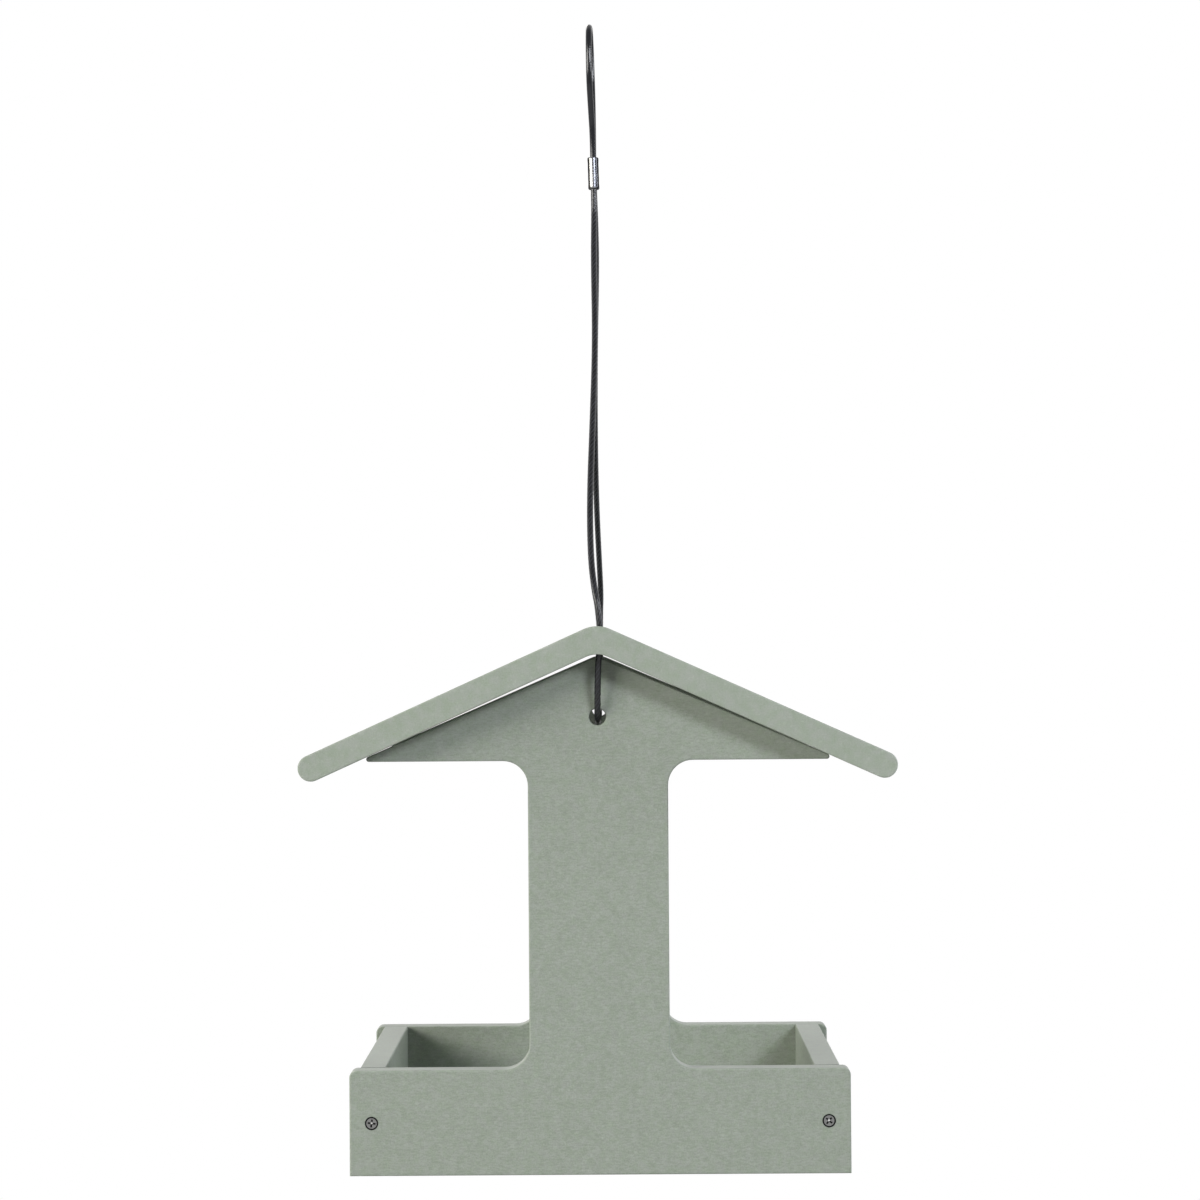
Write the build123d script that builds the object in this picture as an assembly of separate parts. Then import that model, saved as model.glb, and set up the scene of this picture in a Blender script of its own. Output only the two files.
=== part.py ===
from build123d import *
import math
import os

# A hanging fly-through bird feeder in thick sheet, in millimetres.
# +Z is up, the front panel faces -Y, and the origin is the point inside the top of the
# cable loop where a hook carries it.

# Sheet and tray
sheet = 13.0                    # thickness of the panels, side boards and roof
panel_width = 250.0
tray_depth = 200.0              # over the outer faces of both panels
rail_height = 52.5              # height of the tray's walls
rail_corner_radius = 3.5
board_inset = 4.5               # from a panel's end to the side board's outer face
arris = 0.8                     # rounding along the cut edges

# Column and gable of a panel, with heights above the tray's bottom
column_width = 70.0
column_fillet = 12.5
gable_bottom = 206.3
gable_peak = 258.3              # where the gable's two slopes would meet
gable_peak_radius = 10.0
ridge_gap = 2.2                 # room over the gable's peak, so that the roof seats on its tips
gable_tip_radius = 1.3
gable_hole_diameter = 8.3
gable_hole_drop = 30.3          # below the peak

# Roof
roof_pitch = 24.2               # degrees
roof_width = 296.0
roof_overhang = 20.0            # past each panel's outer face
ridge_outer_radius = 16.0
ridge_inner_radius = 13.0
roof_hole_diameter = 8.0
roof_hole_offset = 10.0         # in front of a panel's outer face

# Tray floor
floor_sheet = 6.0
floor_level = 12.0              # the floor's underside, above the tray's bottom
groove_depth = 4.0
groove_clearance = 0.3
drain_diameter = 6.0
drain_pitch = 45.0
drain_margin = 20.0             # least distance from a drain hole's centre to a wall

# Screws
screw_diameter = 3.5
screw_head_diameter = 6.7
screw_length = 35.0
screw_tip_length = 4.0
screw_rim = 0.3                 # straight edge of the head, above its cone
screw_sink = 0.2                # depth of the head under the panel's face
screw_clearance = 0.05
recess_length = 4.0
recess_width = 0.9
recess_depth = 1.5
recess_taper = 12.0             # degrees

# Cable, ferrule and loop
cord_diameter = 3.2
strand_rise = 232.1             # from the ridge's top to the ferrule's lower end
ferrule_length = 16.5
ferrule_wall = 1.3
ferrule_edge = 0.5
ferrule_clearance = 0.05
loop_rise = 67.7                # from the ferrule's upper end to the inside of the loop's top
bend_share = 0.45               # share of the shorter run that an arc of the cable takes up

# Places worked out from the sizes above
slope = math.radians(roof_pitch)
roof_rise = sheet / math.cos(slope)
seat_peak = gable_peak + ridge_gap     # where the roof's two undersides would meet
ridge_top = seat_peak + roof_rise - ridge_outer_radius * (1 / math.cos(slope) - 1)
ferrule_top = -loop_rise
ferrule_low = ferrule_top - ferrule_length
ridge_z = ferrule_low - strand_rise
tray_z = ridge_z - ridge_top
face_y = tray_depth / 2
inner_y = face_y - sheet
board_outer_x = panel_width / 2 - board_inset
board_inner_x = board_outer_x - sheet
board_centre_x = board_outer_x - sheet / 2
screw_z = rail_height / 2
gable_hole_z = gable_peak - gable_hole_drop
gable_tip_x = (seat_peak - gable_bottom) / math.tan(slope)
roof_hole_y = face_y + roof_hole_offset
cord_lane = cord_diameter / 2 + ferrule_clearance


def near(shape, places):
    # The vertices of a flat shape that lie at the given places.
    return [v for v in shape.vertices() for p in places if Vector(v) == Vector(*p)]


def both_sides(x, y):
    return [(x, y), (-x, y)]


def screw_body(gap):
    # A countersunk screw that points up +Z, with its head's flat face at z = 0, grown by a gap.
    head = screw_head_diameter / 2 + gap
    shank = screw_diameter / 2 + gap
    cone_end = screw_rim + head - shank
    outline = Polyline(
        (0, 0),
        (head, 0),
        (head, screw_rim),
        (shank, cone_end),
        (shank, screw_length - screw_tip_length),
        (0, screw_length + gap),
        close=True,
    )
    return revolve(Plane.XZ * make_face(outline), axis=Axis.Z)


def screw_places():
    # Each screw's name and place: the head is on a panel's face, and the point goes inwards.
    places = {}
    for side, sign in (("left", -1), ("right", 1)):
        for end, facing in (("front", -1), ("back", 1)):
            plane = Plane(
                origin=(sign * board_centre_x, facing * (face_y - screw_sink), tray_z + screw_z),
                x_dir=(1, 0, 0),
                z_dir=(0, -facing, 0),
            )
            places[f"screw_{end}_{side}"] = plane
    return places


def screw(turn):
    cross = Rectangle(recess_length, recess_width) + Rectangle(recess_width, recess_length)
    recess = extrude(Rot(0, 0, turn) * cross, amount=recess_depth, taper=recess_taper)
    return screw_body(0) - recess


def screw_holes():
    # The room that every screw takes, with the sunk part over its head open to the panel's face.
    room = screw_body(screw_clearance)
    mouth = Cylinder(
        screw_head_diameter / 2 + screw_clearance,
        screw_sink,
        align=(Align.CENTER, Align.CENTER, Align.MAX),
    )
    return [place * (room + mouth) for place in screw_places().values()]


def floor_room():
    # The tray floor with its clearance above and at its edges, as the grooves leave it.
    return Pos(0, 0, tray_z + floor_level) * Box(
        2 * (board_inner_x + groove_depth),
        2 * (inner_y + groove_depth),
        floor_sheet + groove_clearance,
        align=(Align.CENTER, Align.CENTER, Align.MIN),
    )


def panel():
    # The front panel: rail, column and gable in one outline, cut for the cable, screws and floor.
    half, stem = panel_width / 2, column_width / 2
    right = [
        (half, 0),
        (half, rail_height),
        (stem, rail_height),
        (stem, gable_bottom),
        (gable_tip_x, gable_bottom),
    ]
    left = [(-x, z) for x, z in reversed(right)]
    outline = make_face(Polyline(*right, (0, gable_peak), *left, close=True))
    outline = fillet(near(outline, both_sides(half, rail_height)), rail_corner_radius)
    corners = both_sides(stem, rail_height) + both_sides(stem, gable_bottom)
    outline = fillet(near(outline, corners), column_fillet)
    outline = fillet(near(outline, both_sides(gable_tip_x, gable_bottom)), gable_tip_radius)
    outline = fillet(near(outline, [(0, gable_peak)]), gable_peak_radius)
    outline -= Pos(0, gable_hole_z) * Circle(gable_hole_diameter / 2)
    body = extrude(Plane.XZ * outline, amount=sheet)
    body = fillet(body.faces().filter_by(Axis.Y).edges(), arris)
    body = Pos(0, -inner_y, tray_z) * body
    for cutter in [*screw_holes(), floor_room()]:
        body -= cutter
    return body


def side_board():
    # The right side board, between the panels.
    long_board = Box(sheet, 2 * inner_y, rail_height, align=(Align.CENTER, Align.CENTER, Align.MIN))
    long_board = fillet(long_board.edges().filter_by(Axis.Y), arris)
    body = Pos(board_centre_x, 0, tray_z) * long_board
    for cutter in [*screw_holes(), floor_room()]:
        body -= cutter
    return body


def tray_floor():
    edge = groove_depth - groove_clearance
    plate = Rectangle(2 * (board_inner_x + edge), 2 * (inner_y + edge))
    across = int(2 * (board_inner_x - drain_margin) // drain_pitch) + 1
    along = int(2 * (inner_y - drain_margin) // drain_pitch) + 1
    for place in GridLocations(drain_pitch, drain_pitch, across, along):
        plate -= place * Circle(drain_diameter / 2)
    return Pos(0, 0, tray_z + floor_level) * extrude(plate, amount=floor_sheet)


def ridge_bend(peak, radius):
    # The arc that rounds two roof slopes under the point where they would meet.
    reach = radius * math.sin(slope)
    foot = peak - radius * math.tan(slope) * math.sin(slope)
    crown = peak - radius * (1 / math.cos(slope) - 1)
    return ThreePointArc((-reach, foot), (0, crown), (reach, foot))


def roof():
    # One bent sheet: a chevron with a rounded ridge and full round eaves, along the ridge.
    top = ridge_bend(seat_peak + roof_rise, ridge_outer_radius)
    under = ridge_bend(seat_peak, ridge_inner_radius)
    eave_x = roof_width / 2 - sheet / 2
    eave_z = seat_peak + roof_rise / 2 - eave_x * math.tan(slope)
    across = Vector(math.sin(slope), math.cos(slope)) * (sheet / 2)
    along = Vector(math.cos(slope), -math.sin(slope)) * (sheet / 2)
    centre = Vector(eave_x, eave_z)
    eave = ThreePointArc(centre + across, centre + along, centre - across)
    slopes = [Line(top @ 1, eave @ 0), Line(eave @ 1, under @ 1)]
    half = [eave, *slopes]
    edges = half + [mirror(edge, about=Plane.YZ) for edge in half] + [top, under]
    body = extrude(Plane.XZ * make_face(edges), amount=face_y + roof_overhang, both=True)
    body = fillet(body.faces().filter_by(Axis.Y).edges(), arris)
    drill = Cylinder(roof_hole_diameter / 2, 2 * ridge_top)
    for y in (-roof_hole_y, roof_hole_y):
        body -= Pos(0, y, seat_peak) * drill
    return Pos(0, 0, tray_z) * body


def ferrule():
    # A pressed oval sleeve round the two lanes of cable.
    bore = cord_diameter + 2 * ferrule_clearance
    width = bore + 2 * ferrule_wall
    sleeve = SlotCenterToCenter(2 * cord_lane, width, rotation=90)
    body = extrude(sleeve, amount=ferrule_length)
    body = fillet(body.faces().filter_by(Axis.Z).edges(), ferrule_edge)
    body -= extrude(SlotCenterToCenter(2 * cord_lane, bore, rotation=90), amount=ferrule_length)
    return Pos(0, 0, ferrule_low) * body


# Routes of the cable: hand-chosen points, straight between them and rounded at each one.
hole_z = tray_z + gable_hole_z
front_strand_route = [
    (0.0, -cord_lane, ferrule_low),
    (0.0, -cord_lane, ferrule_low - 7.0),
    (0.0, -4.0, ferrule_low - 18.0),
    (0.1, -13.5, ferrule_low - 40.0),
    (-0.3, -37.0, ferrule_low - 83.5),
    (-1.5, -60.5, ferrule_low - 127.0),
    (-3.2, -81.5, ferrule_low - 165.5),
    (-2.6, -98.5, ferrule_low - 197.0),
    (-0.4, -roof_hole_y + 2.3, ridge_z + 17.7),
    (1.0, -roof_hole_y, ridge_z + 8.0),
    (1.0, -roof_hole_y, ridge_z),
]
back_strand_route = [
    (0.0, cord_lane, ferrule_low),
    (0.0, cord_lane, ferrule_low - 7.0),
    (0.0, 4.0, ferrule_low - 18.0),
    (0.3, 13.5, ferrule_low - 40.0),
    (0.2, 37.0, ferrule_low - 83.5),
    (-0.1, 60.5, ferrule_low - 127.0),
    (0.6, 81.5, ferrule_low - 165.5),
    (1.8, 98.5, ferrule_low - 197.0),
    (2.1, roof_hole_y - 2.3, ridge_z + 17.7),
    (1.5, roof_hole_y, ridge_z + 8.0),
    (1.5, roof_hole_y, ridge_z),
]
front_drop_route = [
    (1.0, -roof_hole_y, ridge_z),
    (1.0, -roof_hole_y, hole_z + 29.9),
    (0.2, -face_y - 5.7, hole_z + 7.8),
    (0.0, -face_y - 1.8, hole_z + 2.6),
    (0.0, -face_y + 4.0, hole_z - 0.3),
    (0.0, -inner_y, hole_z - 0.3),
]
back_drop_route = [
    (1.5, roof_hole_y, ridge_z),
    (1.5, roof_hole_y, hole_z + 29.9),
    (0.3, face_y + 5.7, hole_z + 7.8),
    (0.0, face_y + 1.8, hole_z + 2.6),
    (0.0, face_y - 4.0, hole_z - 0.3),
    (0.0, inner_y, hole_z - 0.3),
]
cross_run_route = [
    (0.0, -inner_y, hole_z - 0.3),
    (0.0, inner_y, hole_z - 0.3),
]
loop_top = cord_diameter / 2
loop_route = [
    (0.0, -cord_lane, ferrule_low),
    (0.0, -cord_lane, ferrule_top + 14.0),
    (-0.8, -9.4, loop_top - 6.2),
    (-0.3, -4.0, loop_top),
    (0.3, 4.0, loop_top),
    (0.9, 9.4, loop_top - 6.2),
    (0.0, cord_lane, ferrule_top + 14.0),
    (0.0, cord_lane, ferrule_low),
]


def bend_radii(points):
    # At each inner point, an arc as large as its two runs allow.
    radii = []
    for before, here, after in zip(points, points[1:], points[2:]):
        into = Vector(*here) - Vector(*before)
        out = Vector(*after) - Vector(*here)
        turn = math.radians(into.get_angle(out))
        radii.append(bend_share * min(into.length, out.length) / math.tan(turn / 2))
    return radii


def cord_tube(name, points):
    # A plain tube along a route, with its tightest bend and its volume printed for comparison.
    radii = bend_radii(points)
    path = FilletPolyline(*points, radius=radii) if radii else Line(*points)
    section = Plane(origin=path @ 0, z_dir=path % 0) * Circle(cord_diameter / 2)
    tube = sweep(section, path=path)
    share = tube.volume / (math.pi * cord_diameter**2 / 4 * path.length)
    bends = ", ".join(f"{r:.1f}" for r in radii)
    print(f"{name}: length {path.length:.1f}, radii [{bends}], volume over section times length {share:.4f}")
    return tube


cord_routes = {
    "cable_loop": loop_route,
    "cable_front_strand": front_strand_route,
    "cable_back_strand": back_strand_route,
    "cable_front_drop": front_drop_route,
    "cable_back_drop": back_drop_route,
    "cable_cross_run": cross_run_route,
}
screw_turns = {
    "screw_front_left": 8.0,
    "screw_front_right": 40.0,
    "screw_back_left": 25.0,
    "screw_back_right": 70.0,
}

front_panel = panel()
right_board = side_board()
nodes = {
    "front_panel": front_panel,
    "back_panel": mirror(front_panel, about=Plane.XZ),
    "right_side_board": right_board,
    "left_side_board": mirror(right_board, about=Plane.YZ),
    "tray_floor": tray_floor(),
    "roof": roof(),
    "crimp_ferrule": ferrule(),
}
for name, place in screw_places().items():
    nodes[name] = place * screw(screw_turns[name])
for name, route in cord_routes.items():
    nodes[name] = cord_tube(name, route)

os.makedirs("parts", exist_ok=True)
for name, shape in nodes.items():
    shape.label = name
    export_step(shape, f"parts/{name}.step")
print(f"tray bottom {tray_z:.2f}, ridge {ridge_z:.2f}, gable holes {hole_z:.2f}, ferrule {ferrule_low:.2f}")
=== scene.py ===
import math

import bmesh
import bpy
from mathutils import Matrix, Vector


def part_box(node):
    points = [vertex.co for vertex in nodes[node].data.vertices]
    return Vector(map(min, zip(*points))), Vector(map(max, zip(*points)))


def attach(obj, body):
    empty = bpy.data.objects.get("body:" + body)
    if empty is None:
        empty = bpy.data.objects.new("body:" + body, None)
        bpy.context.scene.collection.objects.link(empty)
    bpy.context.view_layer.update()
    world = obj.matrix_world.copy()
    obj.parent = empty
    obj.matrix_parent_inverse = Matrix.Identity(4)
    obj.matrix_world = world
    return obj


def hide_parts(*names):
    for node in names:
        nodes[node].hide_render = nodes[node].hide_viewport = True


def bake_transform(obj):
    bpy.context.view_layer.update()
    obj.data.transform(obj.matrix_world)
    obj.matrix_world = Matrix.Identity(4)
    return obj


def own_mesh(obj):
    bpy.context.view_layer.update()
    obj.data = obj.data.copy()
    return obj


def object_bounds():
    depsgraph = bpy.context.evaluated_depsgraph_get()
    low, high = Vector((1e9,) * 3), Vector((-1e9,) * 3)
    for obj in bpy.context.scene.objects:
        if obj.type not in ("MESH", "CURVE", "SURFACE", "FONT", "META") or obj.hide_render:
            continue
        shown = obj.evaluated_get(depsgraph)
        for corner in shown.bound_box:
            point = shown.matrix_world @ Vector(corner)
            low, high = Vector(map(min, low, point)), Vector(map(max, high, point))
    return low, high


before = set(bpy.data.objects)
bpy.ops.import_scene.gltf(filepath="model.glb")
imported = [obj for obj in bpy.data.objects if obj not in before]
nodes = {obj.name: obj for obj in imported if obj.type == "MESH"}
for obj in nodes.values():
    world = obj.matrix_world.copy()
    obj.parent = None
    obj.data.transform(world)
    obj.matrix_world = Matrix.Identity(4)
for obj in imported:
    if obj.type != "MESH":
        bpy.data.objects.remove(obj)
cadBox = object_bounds()
print("frame loaded:", len(nodes), "solids")

# below, a noise is given by scale, detail and roughness, and a bump by strength and distance
white = (1, 1, 1, 1)
noiseSpan = (0.3, 0.7)  # most of a noise lies in here


def addNode(tree, kind, inputs=None, **settings):
    node = tree.nodes.new(kind)
    for name, value in settings.items():
        setattr(node, name, value)
    for key, value in (inputs or {}).items():
        if isinstance(value, bpy.types.NodeSocket):
            tree.links.new(value, node.inputs[key])
        else:
            node.inputs[key].default_value = value
    return node


def stepOn(tree, kind, inputs=None, **settings):  # a new node's first output
    return addNode(tree, kind, inputs, **settings).outputs[0]


def mathOn(tree, operation, first, second=0.0):
    return stepOn(tree, "ShaderNodeMath", {0: first, 1: second}, operation=operation)


def plusOn(tree, first, second):
    return mathOn(tree, "ADD", first, second)


def lessOn(tree, first, second):
    return mathOn(tree, "SUBTRACT", first, second)


def timesOn(tree, first, second):
    return mathOn(tree, "MULTIPLY", first, second)


def mostOn(tree, first, second):
    return mathOn(tree, "MAXIMUM", first, second)


def sizeOn(tree, value):  # the value without its sign
    return mathOn(tree, "ABSOLUTE", value)


def partOn(tree, vector, axis):
    return addNode(tree, "ShaderNodeSeparateXYZ", {0: vector}).outputs[axis]


def rampOn(tree, value, low, high, toLow=0.0, toHigh=1.0):  # eased step from low to high
    ends = {"Value": value, "From Min": low, "From Max": high, "To Min": toLow, "To Max": toHigh}
    return addNode(tree, "ShaderNodeMapRange", ends, interpolation_type="SMOOTHSTEP").outputs["Result"]


def swingOn(tree, noise, toLow=0.0, toHigh=1.0):
    return rampOn(tree, noise, *noiseSpan, toLow, toHigh)


def mixOn(tree, amount, first, second):
    return addNode(tree, "ShaderNodeMix", {0: amount, 6: first, 7: second}, data_type="RGBA").outputs[2]


def scaleOn(tree, vector, amount):
    return stepOn(tree, "ShaderNodeVectorMath", {0: vector, "Scale": amount}, operation="SCALE")


def stretchOn(tree, vector, stretch):
    return stepOn(tree, "ShaderNodeVectorMath", {0: vector, 1: stretch}, operation="MULTIPLY")


def noiseOn(tree, vector, scale, detail=2.0, rough=0.5):
    inputs = {"Vector": vector, "Scale": scale, "Detail": detail, "Roughness": rough}
    return addNode(tree, "ShaderNodeTexNoise", inputs).outputs["Fac"]


def bumpOn(tree, height, strength, distance):
    return stepOn(tree, "ShaderNodeBump", {"Height": height, "Strength": strength, "Distance": distance})


def startFinish(name):
    finish = bpy.data.materials.new(name)
    finish.use_nodes = True
    tree = finish.node_tree
    tree.nodes.clear()
    shader = addNode(tree, "ShaderNodeBsdfPrincipled")
    addNode(tree, "ShaderNodeOutputMaterial", {"Surface": shader.outputs[0]})
    return finish, tree, shader


def joinSockets(tree, shader, colour, rough, normal=None):
    tree.links.new(colour, shader.inputs["Base Color"])
    tree.links.new(rough, shader.inputs["Roughness"])
    if normal is not None:
        tree.links.new(normal, shader.inputs["Normal"])


# the camera stands a little above the gable holes, as in the photo; turns in degrees
cameraSet = {
    "place": (0.009, -1.745, -0.3225),
    "lens": 98.9,
    "sensor": 36.0,
    "pitch": 0.673,
    "roll": 0.40,
    "yaw": 0.26,
}


def placeCamera():
    data = bpy.data.cameras.new("photoCamera")
    data.lens = cameraSet["lens"]
    data.sensor_width = cameraSet["sensor"]
    camera = bpy.data.objects.new("photoCamera", data)
    camera.location = cameraSet["place"]
    turns = (90 + cameraSet["pitch"], cameraSet["roll"], cameraSet["yaw"])
    camera.rotation_euler = [math.radians(turn) for turn in turns]
    bpy.context.scene.collection.objects.link(camera)
    bpy.context.scene.camera = camera


placeCamera()
print("camera placed")

# black coated wire rope, one dictionary for all its lengths, in metres
cableSet = {
    "diameter": 0.0032,
    "girth": 0.01,
    "strands": 6,
    "lobeDepth": 0.00004,
    "layLength": 0.0162,
    "ringStep": 0.0004,
    "around": 42,
    "routeOrder": 3,
    "routeSteps": 16,
    "black": (0.005, 0.0053, 0.0064, 1),
    "ridgeDustAndLight": (0.047, 0.049, 0.060, 1),
    "dustAndLightShare": 0.45,
    "leastDustAndLight": 0.25,
    "scuffStretch": (90, 420, 1),
    "scuffs": (1.0, 3.0, 0.6),
    "rough": (0.26, 0.34),
    "gloss": 0.42,
    "smoothBlack": (0.014, 0.0147, 0.0178, 1),
    "smoothRough": 0.15,
    "smoothGloss": 0.32,
}
cableRoutes = {
    "hangingLoop": [
        (-0.0007, -0.00165, -0.0760),
        (-0.0008, -0.00165, -0.0580),
        (-0.0017, -0.0046, -0.0430),
        (-0.0026, -0.0098, -0.0265),
        (-0.0027, -0.0088, -0.0042),
        (-0.0025, -0.0039, 0.0016),
        (-0.0021, 0.0039, 0.0016),
        (-0.0018, 0.0088, -0.0042),
        (-0.0011, 0.0098, -0.0265),
        (-0.0008, 0.0046, -0.0430),
        (-0.0007, 0.00165, -0.0580),
        (-0.0007, 0.00165, -0.0760),
    ],
    "frontStrand": [
        (-0.0007, -0.00165, -0.0760),
        (-0.0004, -0.00165, -0.0912),
        (-0.0005, -0.0040, -0.1022),
        (-0.0008, -0.0135, -0.1242),
        (-0.0001, -0.0370, -0.1677),
        (-0.0016, -0.0605, -0.2112),
        (-0.0032, -0.0815, -0.2497),
        (-0.0029, -0.0985, -0.2812),
        (-0.0010, -0.1077, -0.2985),
        (0.0010, -0.1100, -0.3082),
        (0.0020, -0.1100, -0.3245),
    ],
    "backStrand": [
        (-0.0007, 0.00165, -0.0760),
        (-0.0002, 0.00165, -0.0912),
        (0.0002, 0.0040, -0.1022),
        (0.0005, 0.0135, -0.1242),
        (-0.0008, 0.0370, -0.1677),
        (-0.0012, 0.0605, -0.2112),
        (-0.0007, 0.0815, -0.2497),
        (0.0006, 0.0985, -0.2812),
        (0.0013, 0.1077, -0.2985),
        (0.0008, 0.1100, -0.3082),
        (0.0008, 0.1100, -0.3245),
    ],
    "underRun": [
        (0.0020, -0.1100, -0.3245),
        (0.0005, -0.1100, -0.3316),
        (0.0001, -0.1057, -0.3537),
        (0, -0.1018, -0.3592),
        (0, -0.0960, -0.3625),
        (0, -0.0870, -0.3632),
        (0, -0.0450, -0.3655),
        (0, 0.0450, -0.3655),
        (0, 0.0870, -0.3632),
        (0, 0.0960, -0.3625),
        (0.0001, 0.1018, -0.3592),
        (0.0003, 0.1057, -0.3537),
        (0.0008, 0.1100, -0.3316),
        (0.0008, 0.1100, -0.3245),
    ],
}


def cableFinish():  # lighter ridges over the strands, partly dust and partly painted light, with painted shade in the valleys between them, scuffed along the cable
    finish, tree, shader = startFinish("blackCableCoat")
    along = addNode(tree, "ShaderNodeAttribute", attribute_name="along").outputs["Fac"]
    around = addNode(tree, "ShaderNodeAttribute", attribute_name="around").outputs["Fac"]
    valley = addNode(tree, "ShaderNodeAttribute", attribute_name="valley").outputs["Fac"]
    unrolled = {0: along, 1: timesOn(tree, around, cableSet["girth"])}
    surface = stepOn(tree, "ShaderNodeCombineXYZ", unrolled)
    scuffs = noiseOn(tree, stretchOn(tree, surface, cableSet["scuffStretch"]), *cableSet["scuffs"])
    ridge = rampOn(tree, valley, cableSet["dustAndLightShare"], 0.0)
    dustAndRidgeLight = timesOn(tree, ridge, swingOn(tree, scuffs, cableSet["leastDustAndLight"]))
    colour = mixOn(tree, dustAndRidgeLight, cableSet["black"], cableSet["ridgeDustAndLight"])
    shader.inputs["Specular IOR Level"].default_value = cableSet["gloss"]
    joinSockets(tree, shader, colour, swingOn(tree, scuffs, *cableSet["rough"]))
    return finish


def loopFinish():  # the coat is drawn smooth where the cable bends round the hook
    finish, _, shader = startFinish("smoothCableCoat")
    shader.inputs["Base Color"].default_value = cableSet["smoothBlack"]
    shader.inputs["Roughness"].default_value = cableSet["smoothRough"]
    shader.inputs["Specular IOR Level"].default_value = cableSet["smoothGloss"]
    return finish


def keepOn(tree, shape, name, value):  # a value kept on the mesh for its finish
    store = {"Geometry": shape, "Name": name, "Value": value}
    return stepOn(tree, "GeometryNodeStoreNamedAttribute", store)


def cableTree():
    tree = bpy.data.node_groups.new("twistedCable", "GeometryNodeTree")
    sockets = tree.interface
    sockets.new_socket("Route", in_out="INPUT", socket_type="NodeSocketGeometry")
    for label in ("Cable Radius", "Lobe Depth", "Lay Length", "Ring Step"):
        sockets.new_socket(label, in_out="INPUT", socket_type="NodeSocketFloat")
    for label in ("Strands", "Points Around"):
        sockets.new_socket(label, in_out="INPUT", socket_type="NodeSocketInt")
    sockets.new_socket("Coating", in_out="INPUT", socket_type="NodeSocketMaterial")
    sockets.new_socket("Cable", in_out="OUTPUT", socket_type="NodeSocketGeometry")
    given = addNode(tree, "NodeGroupInput").outputs

    # the route as a curve that turns once in each lay length
    curve = stepOn(tree, "GeometryNodeMeshToCurve", {"Mesh": given["Route"]})
    resample = {"Curve": curve, "Length": given["Ring Step"]}
    curve = stepOn(tree, "GeometryNodeResampleCurve", resample, mode="LENGTH")
    along = addNode(tree, "GeometryNodeSplineParameter").outputs["Length"]
    turn = timesOn(tree, mathOn(tree, "DIVIDE", along, given["Lay Length"]), math.tau)
    curve = stepOn(tree, "GeometryNodeSetCurveTilt", {"Curve": curve, "Tilt": turn})
    curve = keepOn(tree, curve, "along", along)

    # a round section with a shallow valley between each two strands
    circle = {"Resolution": given["Points Around"], "Radius": given["Cable Radius"]}
    ring = stepOn(tree, "GeometryNodeCurvePrimitiveCircle", circle)
    share = addNode(tree, "GeometryNodeSplineParameter").outputs["Factor"]
    ring = keepOn(tree, ring, "around", share)
    wave = mathOn(tree, "COSINE", timesOn(tree, timesOn(tree, share, given["Strands"]), math.tau))
    valley = timesOn(tree, lessOn(tree, 1.0, wave), 0.5)
    ring = keepOn(tree, ring, "valley", valley)
    depth = mathOn(tree, "DIVIDE", timesOn(tree, valley, given["Lobe Depth"]), given["Cable Radius"])
    spot = stepOn(tree, "GeometryNodeInputPosition")
    inward = scaleOn(tree, spot, timesOn(tree, depth, -1.0))
    ring = stepOn(tree, "GeometryNodeSetPosition", {"Geometry": ring, "Offset": inward})

    body = {"Curve": curve, "Profile Curve": ring, "Fill Caps": True}
    body = stepOn(tree, "GeometryNodeCurveToMesh", body)
    body = stepOn(tree, "GeometryNodeSetShadeSmooth", {"Geometry": body})
    body = stepOn(tree, "GeometryNodeRealizeInstances", {"Geometry": body})
    body = stepOn(tree, "GeometryNodeSetMaterial", {"Geometry": body, "Material": given["Coating"]})
    addNode(tree, "NodeGroupOutput", {"Cable": body})
    return tree


def plainMesh(holder, name):  # the evaluated shape as a mesh of its own, at the origin
    graph = bpy.context.evaluated_depsgraph_get()
    mesh = bpy.data.meshes.new_from_object(holder.evaluated_get(graph))
    mesh.name = name
    bpy.data.objects.remove(holder)
    return mesh


def showMesh(mesh, name):
    piece = bpy.data.objects.new(name, mesh)
    bpy.context.scene.collection.objects.link(piece)
    return piece


def routeMesh(name, points):  # points along the smooth line that the route's points steer
    line = bpy.data.curves.new(name, "CURVE")
    line.dimensions = "3D"
    line.resolution_u = cableSet["routeSteps"]
    spline = line.splines.new("NURBS")
    spline.points.add(len(points) - 1)
    for knot, point in zip(spline.points, points):
        knot.co = (*point, 1)
    spline.order_u = cableSet["routeOrder"]
    spline.use_endpoint_u = True
    return plainMesh(showMesh(line, name), name)


def makeCable(name, tree, coat, lobeDepth):
    route = routeMesh(name + "Route", cableRoutes[name])
    path = [tuple(point.co) for point in route.vertices]
    holder = showMesh(route, name + "Holder")
    modifier = holder.modifiers.new("twistedCable", "NODES")
    modifier.node_group = tree
    values = {
        "Cable Radius": cableSet["diameter"] / 2,
        "Lobe Depth": lobeDepth,
        "Lay Length": cableSet["layLength"],
        "Ring Step": cableSet["ringStep"],
        "Strands": cableSet["strands"],
        "Points Around": cableSet["around"],
        "Coating": coat,
    }
    for item in tree.interface.items_tree:
        if item.name in values:
            modifier[item.identifier] = values[item.name]
    piece = showMesh(plainMesh(holder, name), name)
    return piece, path


coat = cableFinish()
twist = cableTree()
ribs = cableSet["lobeDepth"]
loop, loopPath = makeCable("hangingLoop", twist, loopFinish(), 0.0)
frontStrand, frontPath = makeCable("frontStrand", twist, coat, ribs)
backStrand, backPath = makeCable("backStrand", twist, coat, ribs)
underRun, underPath = makeCable("underRun", twist, coat, ribs)
print("cables laid:", [len(piece.data.polygons) for piece in (loop, frontStrand, backStrand, underRun)])
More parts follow.
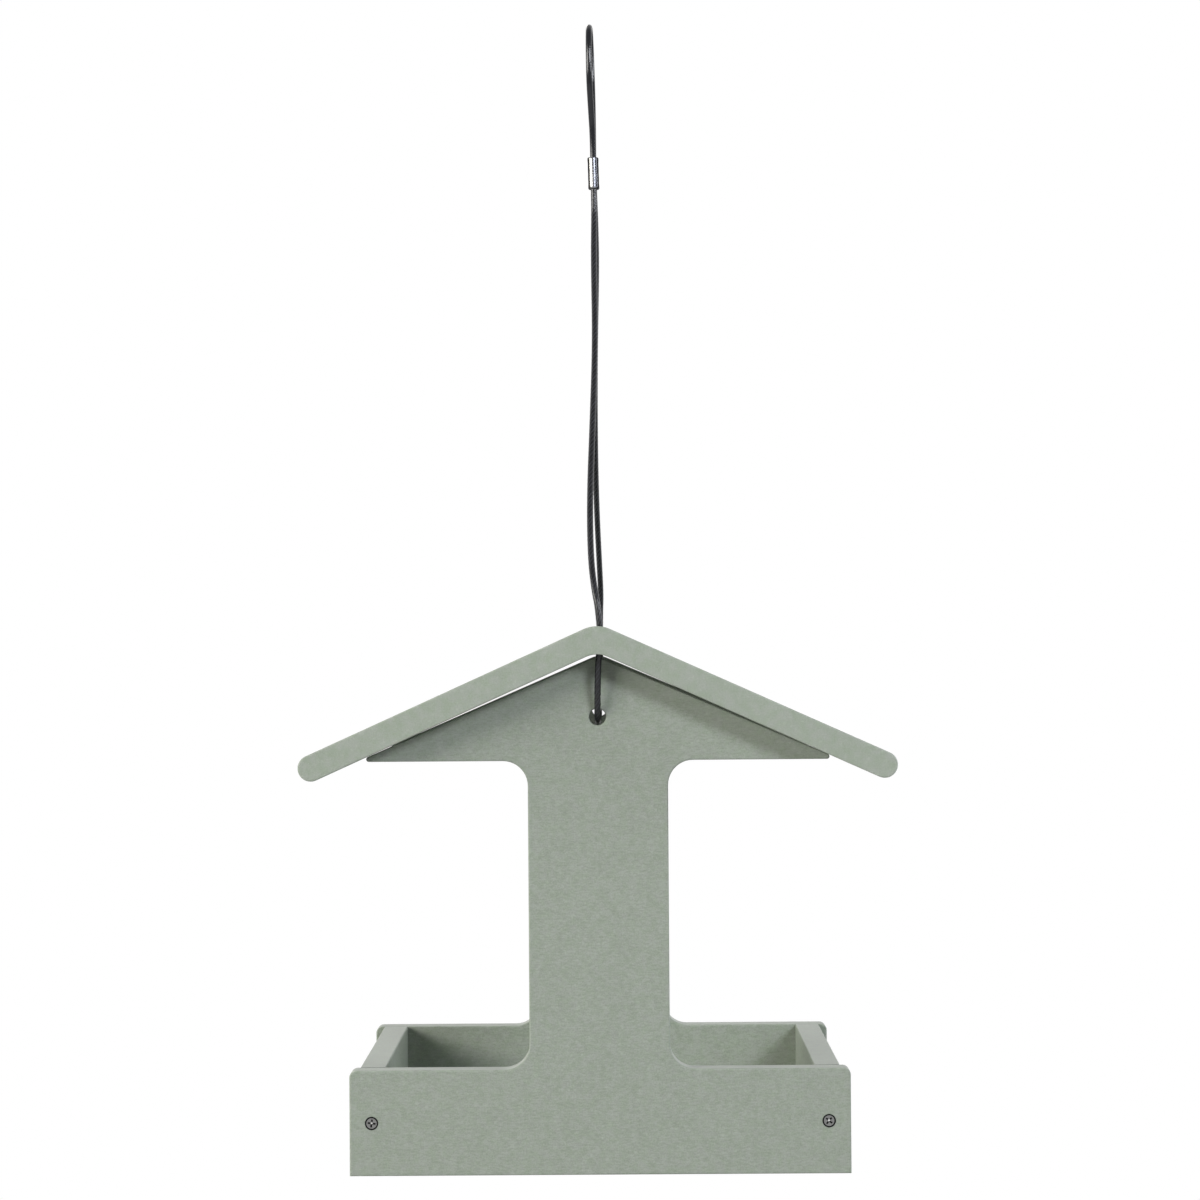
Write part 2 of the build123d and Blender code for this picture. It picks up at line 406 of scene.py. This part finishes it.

# pressed aluminium sleeve, sized by the solid that it stands for; painted reflection bands, dark and
# bright, run from -X to +X
ferruleSet = {
    "wall": 0.0013,
    "lip": 0.00045,
    "lipSteps": 5,
    "waist": 0.00006,
    "pressDepth": 0.00006,
    "pressPlaces": (0.2, 0.5, 0.8),
    "pressWidth": 0.09,
    "pressFocus": 3,
    "endEase": 8,
    "squareness": 6,
    "rings": 44,
    "around": 72,
    "mouth": 0.0015,
    "leanTop": -0.0009,
    "leanFoot": -0.0005,
    # painted reflections: dark towards -X and +X, with a bright painted highlight band and a paler
    # painted reflection between them
    "paintedReflectionBands": [
        (0.00, (0.030, 0.030, 0.029, 1)),
        (0.08, (0.035, 0.034, 0.032, 1)),
        (0.16, (0.072, 0.070, 0.066, 1)),
        (0.26, (0.27, 0.27, 0.26, 1)),
        (0.32, (0.40, 0.40, 0.40, 1)),
        (0.41, (0.30, 0.30, 0.31, 1)),
        (0.50, (0.30, 0.30, 0.33, 1)),
        (0.58, (0.32, 0.33, 0.37, 1)),
        (0.66, (0.13, 0.14, 0.16, 1)),
        (0.75, (0.056, 0.058, 0.066, 1)),
        (0.86, (0.035, 0.035, 0.037, 1)),
        (1.00, (0.040, 0.040, 0.040, 1)),
    ],
    "bandWave": 0.02,
    "flat": (0.36, 0.36, 0.37, 1),
    "flatShare": 0.6,
    "edgeTint": (0.15, 0.15, 0.16, 1),
    "drawnStretch": (5200, 5200, 160),
    "drawn": (1.0, 3.0, 0.6),
    "clouds": (420.0, 3.0),
    "rough": (0.2, 0.34),
    "bump": (0.3, 0.00003),
}


def ferruleRing(mesh, z, inset, press):
    low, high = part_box("crimp_ferrule")
    foot, top = ferruleSet["leanFoot"], ferruleSet["leanTop"]
    lean = foot + (top - foot) * (z - low.z) / (high.z - low.z)
    radius = (high.x - low.x) / 2 - inset
    straight = (high.y - low.y) / 2 - (high.x - low.x) / 2
    ring = []
    for step in range(ferruleSet["around"]):
        angle = math.tau * step / ferruleSet["around"]
        pressed = press * abs(math.cos(angle)) ** ferruleSet["pressFocus"]
        x = lean + math.cos(angle) * (radius - pressed)
        y = math.sin(angle) * radius + straight * math.tanh(ferruleSet["squareness"] * math.sin(angle))
        ring.append(mesh.verts.new((x, y, z)))
    return ring


def ferruleProfile():  # height, inset and press depth of each ring, from the lower mouth up
    low, high = (corner.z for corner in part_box("crimp_ferrule"))
    wall, lip, steps = ferruleSet["wall"], ferruleSet["lip"], 2 * ferruleSet["lipSteps"]
    mouth = [(low + ferruleSet["mouth"], wall, 0), (low + lip, wall, 0)]
    for step in range(steps + 1):
        share = step / steps
        mouth.append((low + lip * (1 - math.sin(math.pi * share)), (wall - lip) * (1 - share), 0))
    body = []
    for step in range(1, ferruleSet["rings"]):
        share = step / ferruleSet["rings"]
        apart = [(share - place) / ferruleSet["pressWidth"] for place in ferruleSet["pressPlaces"]]
        dips = sum(math.exp(-(gap**2)) for gap in apart)
        ends = min(1, ferruleSet["endEase"] * share * (1 - share))
        press = (ferruleSet["waist"] + ferruleSet["pressDepth"] * dips) * ends
        body.append((low + lip + (high - low - 2 * lip) * share, 0, press))
    top = [(low + high - z, inset, press) for z, inset, press in reversed(mouth)]
    return mouth + body + top


def makeFerrule(metal):
    mesh = bmesh.new()
    rings = [ferruleRing(mesh, *row) for row in ferruleProfile()]
    for lower, upper in zip(rings, rings[1:]):
        for step in range(len(lower)):
            after = (step + 1) % len(lower)
            mesh.faces.new((lower[step], lower[after], upper[after], upper[step]))
    mesh.faces.new(list(reversed(rings[0])))
    mesh.faces.new(rings[-1])
    bmesh.ops.recalc_face_normals(mesh, faces=mesh.faces)
    for face in mesh.faces:
        face.smooth = len(face.verts) == 4
    data = bpy.data.meshes.new("pressedFerrule")
    mesh.to_mesh(data)
    mesh.free()
    data.materials.append(metal)
    piece = showMesh(data, "pressedFerrule")
    return piece


def paintedFerruleReflections(tree, where, facing):  # painted reflections on the round ends, dark bands and a bright highlight band; one plain metal shade on the flats between them
    reach = ferruleSet["bandWave"]
    wave = swingOn(tree, noiseOn(tree, where, *ferruleSet["clouds"]), -reach, reach)
    turned = timesOn(tree, plusOn(tree, partOn(tree, facing, "X"), 1.0), 0.5)
    paintedReflectionBands = addNode(tree, "ShaderNodeValToRGB", {"Fac": plusOn(tree, turned, wave)})
    stops = paintedReflectionBands.color_ramp.elements
    for place, shade in ferruleSet["paintedReflectionBands"][1:-1]:
        stops.new(place).color = shade
    stops[0].color, stops[-1].color = ferruleSet["paintedReflectionBands"][0][1], ferruleSet["paintedReflectionBands"][-1][1]
    low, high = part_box("crimp_ferrule")
    straight = (high.y - low.y - high.x + low.x) / 2
    depth = sizeOn(tree, partOn(tree, where, "Y"))
    flat = rampOn(tree, depth, straight, straight * ferruleSet["flatShare"])
    return mixOn(tree, flat, paintedReflectionBands.outputs["Color"], ferruleSet["flat"])


def ferruleFinish():
    finish, tree, shader = startFinish("pressedAluminium")
    spot = addNode(tree, "ShaderNodeTexCoord").outputs
    drawn = stretchOn(tree, spot["Object"], ferruleSet["drawnStretch"])
    drawn = noiseOn(tree, drawn, *ferruleSet["drawn"])
    colour = paintedFerruleReflections(tree, spot["Object"], spot["Normal"])
    shader.inputs["Metallic"].default_value = 1.0
    shader.inputs["Specular Tint"].default_value = ferruleSet["edgeTint"]
    rough = swingOn(tree, drawn, *ferruleSet["rough"])
    joinSockets(tree, shader, colour, rough, bumpOn(tree, drawn, *ferruleSet["bump"]))
    return finish


ferrule = makeFerrule(ferruleFinish())
print("ferrule pressed:", len(ferrule.data.polygons), "faces")

# thick recycled sheet, streaked along its length, paler and smoother where it is cut
sheetSet = {
    "sage": (0.300, 0.345, 0.276, 1),
    "stone": (0.338, 0.366, 0.322, 1),
    "noiseRough": 0.6,
    "streakLength": 0.0030,
    "streakWidth": 0.0009,
    "streakSpan": (0.2, 0.8),
    "streaks": 0.09,
    "cloudNoise": (70.0, 4.0),
    "mottle": 0.02,
    "hueNoise": (210.0, 3.0),
    "grainNoise": (1400.0, 2.0),
    "grainSpan": (0.2, 0.8),
    "grain": 0.10,
    "fleckScale": 900.0,
    "fleckSpan": (0.93, 0.98),
    "paleFleck": 0.08,
    "cutTurn": (0.3, 0.7),
    "eaveTurn": (0.6, 0.85),
    "cutLineScale": 900.0,
    "cutLineStretch": 40.0,
    "cutLift": 0.10,
    "cutLines": 0.012,
    "wearAndEdgeLightSpan": (0.35, 0.65),
    "wearAndEdgeLightLeast": 0.4,
    "wearAndEdgeLightLift": 0.12,
    "faceRough": 0.56,
    "roughSwing": 0.04,
    "cutRough": 0.34,
    "gloss": 0.25,
    "grainHeight": 0.5,
    "bump": (0.3, 0.00005),
    "jointWidth": 0.0005,
    "jointShade": (0.035, 0.04, 0.034, 1),
}


def stretchAlong(axis, along, across):
    stretch = [across, across, across]
    stretch["XYZ".index(axis)] = along
    return stretch


def sheetCut(tree, facing, across, bent):  # 1 where the sheet is cut, 0 on its faces
    if not bent:
        return rampOn(tree, across, *sheetSet["cutTurn"], 1.0, 0.0)
    eave = rampOn(tree, sizeOn(tree, partOn(tree, facing, "X")), *sheetSet["eaveTurn"])
    return mostOn(tree, rampOn(tree, across, *sheetSet["cutTurn"]), eave)  # its ends and its eaves


def jointLine(tree, where, longAxis, jointAt, colour):  # painted shade in the seam where the end of a board meets a panel
    along = sizeOn(tree, partOn(tree, where, longAxis))
    toEnd = lessOn(tree, jointAt, along)
    jointShade = rampOn(tree, toEnd, sheetSet["jointWidth"], sheetSet["jointWidth"] / 2)
    return mixOn(tree, jointShade, colour, sheetSet["jointShade"])


def sheetFinish(name, faceAxis, longAxis, bent=False, jointAt=None):
    finish, tree, shader = startFinish(name)
    place = addNode(tree, "ShaderNodeTexCoord").outputs
    where = place["Object"]
    across = sizeOn(tree, partOn(tree, place["Normal"], faceAxis))
    cut = sheetCut(tree, place["Normal"], across, bent)
    square = timesOn(tree, across, across)
    edge = timesOn(tree, square, lessOn(tree, 1.0, square))
    edge = timesOn(tree, edge, 4.0)  # 1 halfway round an edge

    # short streaks along the sheet, soft clouds, fine grain, a few pale flecks, lines on the cuts
    fine = sheetSet["noiseRough"]
    dash = stretchAlong(longAxis, 1 / sheetSet["streakLength"], 1 / sheetSet["streakWidth"])
    streaks = noiseOn(tree, stretchOn(tree, where, dash), 1.0, rough=fine)
    clouds = noiseOn(tree, where, *sheetSet["cloudNoise"], fine)
    hue = noiseOn(tree, where, *sheetSet["hueNoise"], fine)
    grain = noiseOn(tree, where, *sheetSet["grainNoise"], fine)
    cells = {"Vector": where, "Scale": sheetSet["fleckScale"]}
    cells = partOn(tree, addNode(tree, "ShaderNodeTexVoronoi", cells).outputs["Color"], "X")
    saw = stretchAlong("Z" if bent else faceAxis, sheetSet["cutLineStretch"], sheetSet["cutLineScale"])
    lines = noiseOn(tree, stretchOn(tree, where, saw), 1.0)

    dashes = rampOn(tree, streaks, *sheetSet["streakSpan"], -sheetSet["streaks"], sheetSet["streaks"])
    cutLow, cutHigh = (sheetSet["cutLift"] + side * sheetSet["cutLines"] for side in (-1, 1))
    # paler round the arrises, partly wear and partly a painted highlight along the edges
    wearAndEdgeLight = timesOn(tree, edge, rampOn(tree, clouds, *sheetSet["wearAndEdgeLightSpan"], sheetSet["wearAndEdgeLightLeast"]))
    tones = [
        swingOn(tree, clouds, -sheetSet["mottle"], sheetSet["mottle"]),
        rampOn(tree, grain, *sheetSet["grainSpan"], -sheetSet["grain"], sheetSet["grain"]),
        rampOn(tree, cells, *sheetSet["fleckSpan"], 0.0, sheetSet["paleFleck"]),
        timesOn(tree, dashes, lessOn(tree, 1.0, cut)),
        timesOn(tree, cut, swingOn(tree, lines, cutLow, cutHigh)),
        timesOn(tree, wearAndEdgeLight, sheetSet["wearAndEdgeLightLift"]),
    ]
    tone = 1.0
    for part in tones:
        tone = plusOn(tree, tone, part)
    colour = scaleOn(tree, mixOn(tree, swingOn(tree, hue), sheetSet["sage"], sheetSet["stone"]), tone)
    if jointAt:
        colour = jointLine(tree, where, longAxis, jointAt, colour)

    height = plusOn(tree, timesOn(tree, grain, sheetSet["grainHeight"]), streaks)
    height = plusOn(tree, height, timesOn(tree, cut, lines))
    roughLow, roughHigh = (sheetSet["faceRough"] + side * sheetSet["roughSwing"] for side in (-1, 1))
    sheen = timesOn(tree, cut, sheetSet["cutRough"] - sheetSet["faceRough"])
    rough = plusOn(tree, swingOn(tree, hue, roughLow, roughHigh), sheen)
    shader.inputs["Specular IOR Level"].default_value = sheetSet["gloss"]
    joinSockets(tree, shader, colour, rough, bumpOn(tree, height, *sheetSet["bump"]))
    return finish


def dress(finish, *names):
    for name in names:
        nodes[name].data.materials.clear()
        nodes[name].data.materials.append(finish)


dress(sheetFinish("panelSheet", "Y", "X"), "front_panel", "back_panel")
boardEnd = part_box("right_side_board")[1].y
dress(sheetFinish("boardSheet", "X", "Y", jointAt=boardEnd), "left_side_board", "right_side_board")
dress(sheetFinish("floorSheet", "Z", "X"), "tray_floor")
dress(sheetFinish("roofSheet", "Y", "Y", bent=True), "roof")
print("sheet finishes dressed")

# grey countersunk screws, with painted shade in the gap round the head and in the cross, and a painted
# glint on the cross's floor
screwSet = {
    "steel": (0.225, 0.225, 0.22, 1),
    "bright": (0.38, 0.38, 0.37, 1),
    "brightSpan": (0.55, 0.8),
    "paintedShade": (0.014, 0.014, 0.014, 1),
    "rim": (0.0025, 0.0027),
    "crossDepth": (0.0001, 0.0008),
    "paintedGlint": (0.85, 0.85, 0.83, 1),
    "paintedGlintRadius": (0.0008, 0.0004),
    "stains": (900.0, 4.0, 0.6),
    "turnedScale": 5200.0,
    "metal": 0.8,
    "rough": (0.5, 0.36),
    "bump": (0.25, 0.00003),
}


def screwFinish():
    finish, tree, shader = startFinish("greyScrewSteel")
    low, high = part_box("screw_front_right")
    centre = (low + high) / 2
    where = addNode(tree, "ShaderNodeTexCoord").outputs["Object"]
    spot = addNode(tree, "ShaderNodeSeparateXYZ", {0: where}).outputs
    aside = lessOn(tree, sizeOn(tree, spot["X"]), centre.x)
    above = lessOn(tree, spot["Z"], centre.z)
    radius = plusOn(tree, timesOn(tree, aside, aside), timesOn(tree, above, above))
    radius = mathOn(tree, "SQRT", radius)
    deep = lessOn(tree, -low.y, sizeOn(tree, spot["Y"]))
    # painted shade in the gap round the head and in the recess of the cross
    rim = rampOn(tree, radius, *screwSet["rim"])
    cross = rampOn(tree, deep, *screwSet["crossDepth"])
    stain = noiseOn(tree, where, *screwSet["stains"])
    shine = rampOn(tree, stain, *screwSet["brightSpan"])
    colour = mixOn(tree, shine, screwSet["steel"], screwSet["bright"])
    colour = mixOn(tree, mostOn(tree, rim, cross), colour, screwSet["paintedShade"])
    # a painted highlight at the middle of the cross
    colour = mixOn(tree, rampOn(tree, radius, *screwSet["paintedGlintRadius"]), colour, screwSet["paintedGlint"])
    shader.inputs["Metallic"].default_value = screwSet["metal"]
    turned = bumpOn(tree, noiseOn(tree, where, screwSet["turnedScale"]), *screwSet["bump"])
    joinSockets(tree, shader, colour, swingOn(tree, stain, *screwSet["rough"]), turned)
    return finish


dress(screwFinish(), *[name for name in nodes if name.startswith("screw_")])
print("screws dressed")

# studio light: a broad warm key from the left, a cool fill from the right, a soft light at each side
# and one behind, before a lit white backdrop; angles in degrees, sizes in metres
lightSet = {
    "aim": Vector((0, 0, -0.46)),
    "distance": 4.0,
    "warm": (1.0, 0.985, 0.93),
    "cool": (0.97, 1.0, 1.07),
    "lamps": {
        "key": {"azimuth": -52, "elevation": 17, "size": (2.9, 1.1), "power": 112, "tint": "warm"},
        "fill": {"azimuth": 28, "elevation": 22, "size": (1.3, 0.6), "power": 66, "tint": "cool"},
        "back": {"azimuth": -158, "elevation": 32, "size": (1.5, 0.8), "power": 16, "tint": "warm"},
        "right": {"azimuth": 80, "elevation": 18, "size": (1.0, 0.6), "power": 46, "tint": "cool"},
        "left": {"azimuth": -82, "elevation": 16, "size": (1.0, 0.6), "power": 30, "tint": "warm"},
    },
    "room": (0.025, 0.025, 0.025, 1),
    "backdrop": (0.35, 0.35, 0.35, 1),
    "backdropSpan": (-0.1, 0.4),
    "mirroredRoom": (0.4, 0.4, 0.4, 1),
    "mirroredSpan": (-0.5, 0.3),
    "floorDrop": 0.32,
    "floorSize": 8.0,
    "floorRough": 0.9,
    "floorPale": (0.86, 0.86, 0.85, 1),
    "floorDim": (0.35, 0.35, 0.35, 1),
    "floorFade": (0.5, 1.5),
}


def placeLight(name, values):
    data = bpy.data.lights.new(name + "Light", "AREA")
    data.shape = "RECTANGLE"
    data.size, data.size_y = values["size"]
    data.energy = values["power"]
    data.color = lightSet[values["tint"]]
    light = bpy.data.objects.new(name + "Light", data)
    aside, above = math.radians(values["azimuth"]), math.radians(values["elevation"])
    level = math.cos(above)
    outward = Vector((math.sin(aside) * level, -math.cos(aside) * level, math.sin(above)))
    light.location = lightSet["aim"] + outward * lightSet["distance"]
    light.rotation_euler = (-outward).to_track_quat("-Z", "Y").to_euler()
    light.visible_camera = False
    bpy.context.scene.collection.objects.link(light)


def seenDirectly(tree):  # 1 for what the camera, a mirror or glass sees
    path = addNode(tree, "ShaderNodeLightPath").outputs
    mirrored = mostOn(tree, path["Is Glossy Ray"], path["Is Transmission Ray"])
    return mostOn(tree, path["Is Camera Ray"], mirrored)


def paintSky():  # white to the camera; a mirror also sees the greyer room in front
    world = bpy.data.worlds.new("whiteStudio")
    bpy.context.scene.world = world
    world.use_nodes = True
    tree = world.node_tree
    tree.nodes.clear()
    towards = addNode(tree, "ShaderNodeTexCoord").outputs["Generated"]
    behind = partOn(tree, towards, "Y")
    glow = rampOn(tree, behind, *lightSet["backdropSpan"])
    glow = mixOn(tree, glow, lightSet["room"], lightSet["backdrop"])
    lit = stepOn(tree, "ShaderNodeBackground", {"Color": glow})
    inCamera = addNode(tree, "ShaderNodeLightPath").outputs["Is Camera Ray"]
    pale = mostOn(tree, inCamera, rampOn(tree, behind, *lightSet["mirroredSpan"]))
    shown = mixOn(tree, pale, lightSet["mirroredRoom"], white)
    shown = stepOn(tree, "ShaderNodeBackground", {"Color": shown})
    both = stepOn(tree, "ShaderNodeMixShader", {0: seenDirectly(tree), 1: lit, 2: shown})
    addNode(tree, "ShaderNodeOutputWorld", {"Surface": both})


def floorFinish():  # keeps the shadow near the object and fades to white further out
    finish, tree, shader = startFinish("paleFloor")
    direct = seenDirectly(tree)
    shade = mixOn(tree, direct, lightSet["floorDim"], lightSet["floorPale"])
    tree.links.new(shade, shader.inputs["Base Color"])
    shader.inputs["Roughness"].default_value = lightSet["floorRough"]
    where = addNode(tree, "ShaderNodeTexCoord").outputs["Object"]
    flat = stretchOn(tree, where, (1, 1, 0))
    away = addNode(tree, "ShaderNodeVectorMath", {0: flat}, operation="LENGTH").outputs["Value"]
    faded = timesOn(tree, rampOn(tree, away, *lightSet["floorFade"]), direct)
    glow = stepOn(tree, "ShaderNodeEmission", {"Color": white})
    both = stepOn(tree, "ShaderNodeMixShader", {0: faded, 1: shader.outputs[0], 2: glow})
    below = addNode(tree, "ShaderNodeNewGeometry").outputs["Backfacing"]
    clear = stepOn(tree, "ShaderNodeBsdfTransparent")  # from below, so that the underside can be seen
    both = stepOn(tree, "ShaderNodeMixShader", {0: below, 1: both, 2: clear})
    tree.links.new(both, tree.nodes["Material Output"].inputs["Surface"])
    return finish


def layFloor():
    level = cadBox[0].z - lightSet["floorDrop"]
    half = lightSet["floorSize"] / 2
    corners = [(-half, -half, level), (half, -half, level), (half, half, level), (-half, half, level)]
    mesh = bpy.data.meshes.new("paleFloor")
    mesh.from_pydata(corners, [], [(0, 1, 2, 3)])
    mesh.materials.append(floorFinish())
    showMesh(mesh, "paleFloor")


for name, values in lightSet["lamps"].items():
    placeLight(name, values)
paintSky()
layFloor()
bpy.context.scene.view_settings.view_transform = "Standard"
print("studio lit")

# what each piece stands for and moves with
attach(loop, "feeder")
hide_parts("cable_loop")
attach(ferrule, "feeder")
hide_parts("crimp_ferrule")
for strand, node in ((frontStrand, "cable_front_strand"), (backStrand, "cable_back_strand")):
    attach(strand, "feeder")
    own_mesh(strand)
    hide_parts(node)
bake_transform(underRun)
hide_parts("cable_front_drop", "cable_cross_run", "cable_back_drop")

print("pieces ride on their bodies")

bpy.context.view_layer.update()
